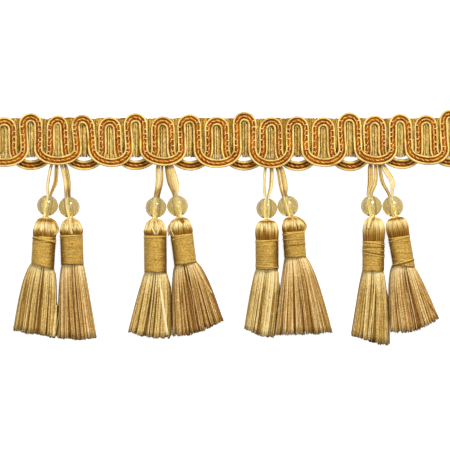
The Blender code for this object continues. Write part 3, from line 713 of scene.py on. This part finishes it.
def ribbon(strands, route, wide, thick, fibres, chance, tint, spread, shade=0.0, along=0.0):
    """Fibres side by side along a route, in its width and thickness; edges and core are painted shade."""
    count = len(route)
    step = units(np.gradient(route, axis=0))
    side = units(np.cross(step, UPWARDS))
    over = np.cross(side, step)
    core = np.broadcast_to(wide, count)
    # painted shade: a flat core, darker than the fibres, that shows between them
    strands.tube(route, 0.3 * core, side, 8, tint - 0.35, along, shade, flatness=0.15 / 0.3 / core.mean())
    for fibre in range(fibres):
        reach = mix(-1.0, 1.0, (fibre + 0.5) / fibres) + chance.uniform(-0.08, 0.08)
        lift = chance.uniform(-1.0, 1.0) * math.sqrt(max(0.0, 1.0 - reach ** 2))
        out = (reach + wander(chance, count, 0.08)) * (wide / 2 - FLOSS_FIBRE)
        up = (lift + wander(chance, count, 0.1)) * (thick / 2 - FLOSS_FIBRE)
        path = route + side * np.reshape(out, (-1, 1)) + over * np.reshape(up, (-1, 1))
        # painted shade: fibres darker towards the ribbon's edges
        tints = tint + chance.uniform(-spread, spread) - 0.6 * abs(reach) ** 3
        strands.tube(path, FLOSS_FIBRE, UPWARDS, 5, tints, along, shade, edge=0.5)


def hanger(row, chance):
    """The doubled floss: two loose strands that meet above the bead, pass through it and enter the head."""
    floss = Hanger(*HANGERS[row.name])
    up, across = bead_axes(row)
    bead = np.array([*row.bead, BEAD_Z])
    head = np.array([*row.top, row.radius * FLAT])
    strands = Strands()
    sides = zip(("left", "right"), floss.starts, (-1, 1), floss.wide, floss.tints)
    for name, start, sign, wide, tint in sides:
        step = across * sign * FLOSS_APART
        anchors = [
            (floss.from_x + start, HANGER_START_Y, HANGER_Z["start"], 0.9),
            (*getattr(floss, name + "_leave"), HANGER_Z["leave"], 0.9 * wide),
            (*getattr(floss, name + "_middle"), HANGER_Z["middle"], wide),
            (*(bead + up * (BEAD_RADIUS + 0.3) + step * 1.05), 1.2),
            (*(bead + step * 1.15), 1.6),
            (*(bead - up * BEAD_RADIUS + step * 0.9), 1.1),
            (*(head - up * 1.2 + step), 1.2),
        ]
        route = smooth_route(anchors, HANGER_STEPS)
        index = np.arange(len(route))
        in_bead = hump(index, *HANGER_IN_BEAD)
        # painted shadow: darker at the start, under the heading
        shade = -0.2 * (1 - ease(index, *HANGER_SHADOW)) - floss.knot * hump(index, *HANGER_KNOT)
        # painted light: paler inside the bead, with a painted highlight on the left strand
        shade += (0.1 - 0.15 * sign) * in_bead
        fibres = max(16, round(wide * FIBRES_PER_MM))
        ribbon(strands, route[:, :3], route[:, 3], 0.8, fibres, chance, tint, 0.4, shade, in_bead)
    strands.piece(f"hanger_{row.name}_floss", "hanger_floss", "hanging_floss", f"hanger_{row.name}")


def bead_profile():
    """Radius and height of the bead's skin: the outside, the upper lip, the hole and the lower lip."""
    lip = BEAD_LIP
    edge = math.acos((BEAD_HOLE_RADIUS + lip) / BEAD_RADIUS)
    angles = np.linspace(-edge, edge, BEAD_STEPS)
    outside = [(BEAD_RADIUS * math.cos(a), BEAD_RADIUS * math.sin(a)) for a in angles]
    top = BEAD_RADIUS * math.sin(edge)
    rim = [
        (BEAD_HOLE_RADIUS + lip - lip * math.sin(a), top - lip + lip * math.cos(a))
        for a in np.linspace(0.3, math.pi / 2, 4)
    ]
    return outside + rim + [(BEAD_HOLE_RADIUS, 0.0)] + [(radius, -height) for radius, height in reversed(rim)]


def bead(row):
    """A ball with a bored and rounded hole."""
    up, across = bead_axes(row)
    angles = np.arange(BEAD_SIDES) * TURN / BEAD_SIDES
    circle = np.cos(angles)[:, None] * across + np.sin(angles)[:, None] * UPWARDS
    middle = np.array([*row.bead, BEAD_Z])
    rings = np.array([middle + up * height + radius * circle for radius, height in bead_profile()])
    index = np.arange(rings.size // 3).reshape(rings.shape[:2])
    after = np.roll(index, -1, 0)
    walls = np.stack([index, after, np.roll(after, -1, 1), np.roll(index, -1, 1)], -1).reshape(-1, 4)
    ball = Strands()
    ball.take(rings, walls, np.zeros(rings.shape))
    made = ball.piece(f"bead_{row.name}_ball", "bead_acrylic", "bead", f"bead_{row.name}")
    made.visible_shadow = False


# Tassels

def head_axis(row):
    axis = np.subtract(row.top, row.neck)
    return unit(axis), np.linalg.norm(axis)


def facing_pair(row):
    """1 if the other tassel of the pair stands on the right, or -1."""
    return 1 if row.name.endswith("a") else -1


def placed(row, across, along, height):
    """Places from a tassel's own frame: across it, up along it from the neck, and above the floor."""
    up = head_axis(row)[0]
    right = np.array([up[1], -up[0]])
    across, along, height = np.broadcast_arrays(across, along, height)
    level = np.asarray(row.neck) + across[..., None] * right + along[..., None] * up
    return np.concatenate([level, height[..., None]], axis=-1)


def in_frame(row, place):
    """Across and along a tassel from its neck, for a place seen from above."""
    up = head_axis(row)[0]
    offset = np.subtract(place, row.neck)
    return offset @ np.array([up[1], -up[0]]), offset @ up


def around(row, radius, angle, along):
    """Places round a tassel's axis, which lies level over the floor."""
    return placed(row, radius * np.cos(angle), along, row.radius * FLAT + radius * np.sin(angle))


def outwards(row, angle):
    """Directions away from a tassel's axis."""
    return placed(row, np.cos(angle), 0.0, np.sin(angle)) - placed(row, 0.0, 0.0, 0.0)


def head_line(row):
    """Radius and height of the folded head's surface, from inside the binding to where the hanger enters."""
    length = head_axis(row)[1]
    radius, start = row.radius, length - row.band_from
    shoulder = length - 2.1 * row.slope
    return smooth_route([
        (radius - 0.7, start - 0.8),
        (radius - 0.25, start + 0.1),
        (radius - 0.05, mix(start, shoulder, 0.35)),
        (radius, mix(start, shoulder, 0.7)),
        (0.93 * radius, shoulder),
        (0.80 * radius, length - 1.0 * row.slope),
        (0.58 * radius, length - 0.3 * row.slope),
        (0.36 * radius, length + 0.05),
        (0.26 * radius, length + 0.45),
    ], 2)


def on_head(row, place, lift):
    """Where a strand lies on the head's surface, for a place seen from above."""
    line = head_line(row)[1:-4]
    across, along = in_frame(row, place)
    radius = np.interp(along, line[:, 1], line[:, 0])
    rise = math.sqrt(max(0.0, radius ** 2 - across ** 2))
    return placed(row, across, along, row.radius * FLAT + rise + lift)


def head(row, chance):
    """The folded floss of the head, from the binding to the top: strands side by side over a painted-shade
    core.
    """
    line = head_line(row)
    count = len(line)
    strands = Strands()
    sides = np.arange(HEAD_CORE_SIDES) * TURN / HEAD_CORE_SIDES
    core = np.column_stack([np.maximum(0.05, line[:, 0] - 0.35), line[:, 1] - 0.15])
    values = np.zeros((count, HEAD_CORE_SIDES, 3))
    # painted shade: the core is darker, for the shade between the strands
    values[..., 2] = -0.4
    strands.skin(np.array([around(row, radius, sides, along) for radius, along in core]), values)
    index = np.arange(count)
    # painted shade: darker just above the binding, at the top and in the crease
    shade = -0.7 * (1 - ease(index, *HEAD_SHADOW)) - 0.15 * ease(index, *HEAD_TOP)
    shade -= row.crease * hump(index, *HEAD_CREASE)
    for fibre in range(HEAD_FIBRES):
        lean = row.lean * (0.5 - index / count) * (1 if fibre % 2 else -1)
        turn = (fibre + chance.uniform(-0.3, 0.3)) * TURN / HEAD_FIBRES + wander(chance, count, 0.03) + lean
        out = line[:, 0] + wander(chance, count, 0.05) + chance.uniform(-0.22, -0.08)
        path = around(row, out, turn, line[:, 1])
        thick = HEAD_FIBRE * np.clip(line[:, 0] / row.radius * 1.6, 0.45, 1.0)
        tint = chance.uniform(0.5, 1.05)
        spare = shade + wander(chance, count, 0.1)
        strands.tube(path, thick, outwards(row, turn), 4, tint, 0.0, spare, edge=0.35)
    for wide, tint, passed in HEAD_STRAYS[row.name]:
        lifts = np.interp(np.arange(len(passed)), (0, 1, len(passed) - 1), (0.0, 0.25, 0.0))
        route = smooth_route([on_head(row, place, lift) for place, lift in zip(passed, lifts)], 5)
        ribbon(strands, route, wide, 0.6, round(wide * FIBRES_PER_MM), chance, tint, 0.25)
    strands.piece(f"tassel_{row.name}_head", "head_floss", "tassel_floss", f"tassel_{row.name}")


def band_edge(row, side):
    """How far along the tassel the binding ends: side is -1 at its left and 1 at its right."""
    return row.band_raised - row.band_tilt * side


def binding(row, chance):
    """Thread wound round the neck, one long helix, over a dark core of painted shade, a few turns askew."""
    high = head_axis(row)[1] - row.band_from
    turns = (high - 0.1) / THREAD_PITCH
    count = int(turns * TURN_STEPS)
    angle = np.linspace(0, turns * TURN, count) + chance.uniform(0, TURN)
    along = np.linspace(0.12, high - 0.08, count) + wander(chance, count, 0.03, int(turns * 2))
    out = row.radius - THREAD_RADIUS + wander(chance, count, 0.02, int(turns * 3))
    path = around(row, out, angle, along + band_edge(row, np.cos(angle)) * (1 - along / high))
    tint = 0.66 + wander(chance, count, 0.08, int(turns * 14)) + wander(chance, count, 0.03, int(turns))
    # painted shade on the side that faces the pair's other tassel
    tint -= (0.55 + 0.1 * facing_pair(row)) * ease(facing_pair(row) * np.cos(angle), 0.35, 1.0)
    # painted highlight along the top edge and painted shade along the lower edge
    tint += 0.35 * ease(along, high - 0.45, high - 0.1) - 0.3 * (1 - ease(along, 0.2, 0.5))
    thread = Strands()
    thread.tube(path, THREAD_RADIUS, outwards(row, angle), 4, tint, angle / TURN, edge=0.3)
    # painted shade: a dark core that shows between the turns
    sides = np.arange(TURN_STEPS) * TURN / TURN_STEPS
    radius = row.radius - 2 * THREAD_RADIUS + 0.05
    rings = [
        around(row, radius, sides, place + band_edge(row, np.cos(sides)) * (1 - place / high))
        for place in (high, high / 2, 0.05)
    ]
    thread.skin(np.array(rings), np.zeros((3, TURN_STEPS, 3)))
    turn = np.linspace(ASKEW_FROM, ASKEW_TO, ASKEW_STEPS)
    over = row.radius + 0.02 + 0.06 * np.sin(np.linspace(0.0, math.pi, ASKEW_STEPS))
    for left, right, tint in BINDING_STRAYS[row.name]:
        from_left, from_right = (in_frame(row, (row.neck[0], y))[1] for y in (left, right))
        where = mix(from_left, from_right, (1 + np.cos(turn)) / 2) + wander(chance, ASKEW_STEPS, 0.06)
        path = around(row, over, turn, np.clip(where, 0.2, high - 0.1))
        thread.tube(path, ASKEW_RADIUS, outwards(row, turn), 5, tint, turn / TURN, edge=0.5)
    thread.piece(f"binding_{row.name}_thread", "binding_thread", "binding_thread", f"binding_{row.name}")


def skirt_edge(angle, half, height):
    """Edge of the skirt's section, flat below and domed above, at an angle that turns over the top."""
    angle = (angle + math.pi) % TURN - math.pi
    level = (angle >= FLAT_FROM) & (angle <= FLAT_TO)
    flat_x = mix(-half, half, (angle - FLAT_FROM) / (FLAT_TO - FLAT_FROM))
    domed = TURN - (FLAT_TO - FLAT_FROM)
    share = ((angle - FLAT_TO) % TURN) / domed
    across, above = np.cos(math.pi * share), np.maximum(0.0, np.sin(math.pi * share))
    x = np.copysign(np.abs(across) ** SKIRT_SQUARENESS, across) * half
    z = above ** SKIRT_SQUARENESS * height
    return np.where(level, flat_x, x), np.where(level, 0.0, z)


def skirt_limits(row, station):
    """Middle, half width and height of the skirt's section at a station down it."""
    length = -(in_frame(row, row.tip_left)[1] + in_frame(row, row.tip_right)[1]) / 2
    edges = []
    for side, sign in (("left", -1), ("right", 1)):
        across, along = in_frame(row, getattr(row, "tip_" + side))
        share = station * length / -along
        start = sign * (row.radius - SKIRT_DRAWN_IN)
        swell = np.sin(math.pi * np.minimum(1.0, share) ** SKIRT_BULGE_POWER)
        bulge = sign * getattr(row, side + "_out") * swell
        edges.append(mix(start, across, share ** SKIRT_SPREAD_POWER) + bulge)
    height = mix(SKIRT_HEIGHT_NECK, SKIRT_HEIGHT_TIP, station)
    return (edges[0] + edges[1]) / 2, (edges[1] - edges[0]) / 2, height


def cut_line(row, across):
    """How far along the tassel the cut edge lies at a place across it."""
    left, right = in_frame(row, row.tip_left), in_frame(row, row.tip_right)
    share = np.clip((across - left[0]) / (right[0] - left[0]), 0.0, 1.0)
    return mix(left[1], right[1], share) - row.sag * 4 * share * (1 - share)


def skirt_core(strands, row):
    """The inner mass of the skirt, ribbed and darkened as painted shade, that shows between the locks."""
    angles = np.linspace(math.pi, -math.pi, 2 * CORE_RIDGES, endpoint=False)
    ridges = np.tile((0.0, 1.0), CORE_RIDGES)
    core = CORE_SHARE + CORE_RIDGE * ridges
    rings = []
    for station in (*STATIONS[:-1], CORE_END):
        middle, half, height = skirt_limits(row, station)
        x, z = skirt_edge(angles, core * half, core * height)
        from_band = band_edge(row, x / half) * (1 - station)
        along = station * cut_line(row, middle + x) + from_band
        rings.append(placed(row, middle + x, along, z + SKIRT_FLOOR))
    values = np.zeros((len(rings), 2 * CORE_RIDGES, 3))
    values[..., 0] = 0.45 * ridges + 0.2 * np.sin(2.4 * np.arange(2 * CORE_RIDGES))
    # painted shade: the core is darker than the locks
    values[..., 2] = -0.25
    strands.skin(np.array(rings), values)


def skirt_locks(strands, row, chance):
    """Locks of strands that fan out from the neck, some sunk between others, and open as they go down."""
    middle, half, height = skirt_limits(row, STATIONS)
    opened = 0.3 + 0.7 * ease(STATIONS, 0.0, 0.5)
    # painted highlight: the locks are paler near the neck
    shade = 0.33 * (1 - ease(STATIONS, 0.0, 0.4))
    for lock in range(LOCKS):
        angle = (lock + chance.uniform(-0.15, 0.15)) / LOCKS * TURN
        lean = chance.normal(0.0, LOCK_LEAN) * STATIONS
        sunk = LOCK_SUNK * max(0.0, chance.uniform(-1.5, 1.0))
        own = row.skirt_tint + chance.uniform(0.6, 0.95)
        longer = chance.normal(0.0, 0.2)
        # painted shade: locks on the underside are darker
        if math.sin(angle) < 0:
            own, longer = own - 0.2, longer - 0.4
        for reach in np.linspace(-1.0, 1.0, LOCK_STRANDS):
            reach += chance.uniform(-0.12, 0.12)
            at = angle + reach * LOCK_FILL * math.pi / LOCKS + lean
            x, z = skirt_edge(at + wander(chance, len(STATIONS), 0.006, 5), half, height)
            up = z - height * SKIRT_MIDDLE
            deep = 0.07 + (sunk + LOCK_DROP * reach ** 2 + abs(chance.normal(0.0, 0.06))) * opened
            share = 1 - deep / np.hypot(x, up)
            tip = cut_line(row, middle[-1] + x[-1]) + longer + chance.normal(0.0, 0.15)
            top = SKIRT_INSIDE + band_edge(row, x[0] / half[0])
            to_pair = facing_pair(row) * x / half
            over_seam = ease(to_pair, 0.85, 0.93) if facing_pair(row) < 0 else 0.0
            rise = np.maximum(height * SKIRT_MIDDLE + up * share, SKIRT_FLOOR + SEAM_HEIGHT * over_seam)
            path = placed(row, middle + x * share, STATIONS * (tip - top) + top, rise)
            thick = LOCK_STRAND * chance.uniform(0.85, 1.15) * mix(0.8, 1.0, opened)
            # painted shade: strands at a lock's edges, and on the side away from the pair, are darker
            tint = own + chance.normal(0.0, 0.2) - 0.85 * reach ** 4 - 0.2 * ease(-to_pair, 0.7, 1.0)
            spare = shade + wander(chance, len(STATIONS), 0.08, 9)
            strands.tube(path, thick, UPWARDS, 4, tint, STATIONS, spare, edge=0.4)


def seam_strands(strands, row, chance):
    """Low dark strands, painted shadow, along the right edge of a left tassel's skirt, under its neighbour's.
    """
    middle, half, _ = skirt_limits(row, STATIONS)
    start = SEAM_FROM[row.name]
    for past in SEAM_STRANDS:
        across = middle + half + mix(-0.8, past, ease(STATIONS, start - 0.1, start + 0.15))
        tip = cut_line(row, across[-1]) + chance.uniform(-0.3, 0.3)
        along = STATIONS * (tip - SKIRT_INSIDE) + SKIRT_INSIDE
        strands.tube(placed(row, across, along, 0.25), LOCK_STRAND, UPWARDS, 4, 0.3, STATIONS, edge=0.2)


def skirt_strays(strands, row, chance):
    """Loose strands that lie over the skirt's front, narrow where they come out of it."""
    for wide, tint, start, end in SKIRT_STRAYS[row.name]:
        route = []
        for share in np.linspace(0.0, 1.0, 8):
            across, along = in_frame(row, mix(np.array(start), np.array(end), share))
            station = min(1.0, along / min(-1.0, cut_line(row, across)))
            middle, half, height = skirt_limits(row, station)
            out = min(0.9, abs(across - middle) / half)
            over = (1 - out ** (2 / SKIRT_SQUARENESS)) ** (SKIRT_SQUARENESS / 2)
            route.append(placed(row, across, along, height * over + 0.3))
        route = smooth_route(route, 2)
        width = wide * (0.3 + 0.7 * ease(np.linspace(0.0, 1.0, len(route)), 0.0, 0.35))
        ribbon(strands, route, width, 0.4, max(3, round(wide * FIBRES_PER_MM)), chance, tint, 0.1)


def skirt(row, chance):
    """The cut floss of a tassel, below its binding."""
    strands = Strands()
    skirt_core(strands, row)
    skirt_locks(strands, row, chance)
    if facing_pair(row) > 0:
        seam_strands(strands, row, chance)
    skirt_strays(strands, row, chance)
    floss = "skirt_floss" if facing_pair(row) > 0 else "skirt_floss_brown"
    strands.piece(f"tassel_{row.name}_skirt", floss, "tassel_floss", f"tassel_{row.name}")


# Stage

def stage_floor():
    """A floor that glows a little past white, so that only the contact shadows show on it."""
    mesh = bpy.data.meshes.new("floor")
    half = FLOOR_SIZE / 2
    corners = [(x * half, y * half, FLOOR_Z) for x, y in ((-1, -1), (1, -1), (1, 1), (-1, 1))]
    mesh.from_pydata(corners, [], [(0, 1, 2, 3)])
    floor = bpy.data.objects.new("floor", mesh)
    bpy.context.scene.collection.objects.link(floor)
    nodes = Nodes("floor_white")
    colour = nodes.ramp(nodes.noise(3.0), (0.3, (0.50, 0.50, 0.50)), (0.7, (0.52, 0.52, 0.52)))
    nodes.join(colour, nodes.shader.inputs["Emission Color"])
    nodes.shader.inputs["Emission Strength"].default_value = FLOOR_GLOW
    nodes.finish(colour, 0.9, 0.1)
    mesh.materials.append(MATERIALS["floor_white"])
    floor.visible_diffuse = False


def lamps():
    """Rectangular lamps that face the middle of the object."""
    for name, (place, size, power, colour) in LAMPS.items():
        lamp = bpy.data.lights.new(name, "AREA")
        lamp.shape = "RECTANGLE"
        lamp.size, lamp.size_y = size
        lamp.energy = power
        lamp.color = colour
        light = bpy.data.objects.new(name, lamp)
        light.location = place
        x, y, z = place
        light.rotation_euler = (math.atan2(math.hypot(x, y), z), 0.0, math.atan2(x, -y))
        bpy.context.scene.collection.objects.link(light)


def sky():
    world = bpy.data.worlds.new("studio")
    world.use_nodes = True
    background = world.node_tree.nodes["Background"]
    background.inputs["Color"].default_value = WORLD_COLOUR
    background.inputs["Strength"].default_value = WORLD_STRENGTH
    bpy.context.scene.world = world
    bpy.context.scene.view_settings.view_transform = "Standard"


def camera():
    lens = bpy.data.cameras.new("camera")
    lens.type = "PERSP"
    lens.sensor_width = SENSOR
    lens.lens = SENSOR * CAMERA_HEIGHT / PHOTO_WIDTH
    lens.clip_start, lens.clip_end = 0.05, 20.0
    eye = bpy.data.objects.new("camera", lens)
    eye.location = (0.0, PHOTO_MIDDLE_Y + SHIFT[1] * MM, CAMERA_HEIGHT + OBJECT_HEIGHT)
    bpy.context.scene.collection.objects.link(eye)
    bpy.context.scene.camera = eye


def build():
    camera()
    stage_floor()
    sky()
    lamps()
    make_materials()
    chance = np.random.default_rng
    scroll("front", True, front_height, chance(11))
    scroll("back", False, back_height, chance(12))
    ground(chance(13))
    for seed, row in enumerate(TASSELS):
        hanger(row, chance(100 + seed))
        bead(row)
        head(row, chance(200 + seed))
        binding(row, chance(300 + seed))
        skirt(row, chance(400 + seed))


build()
bpy.context.view_layer.update()
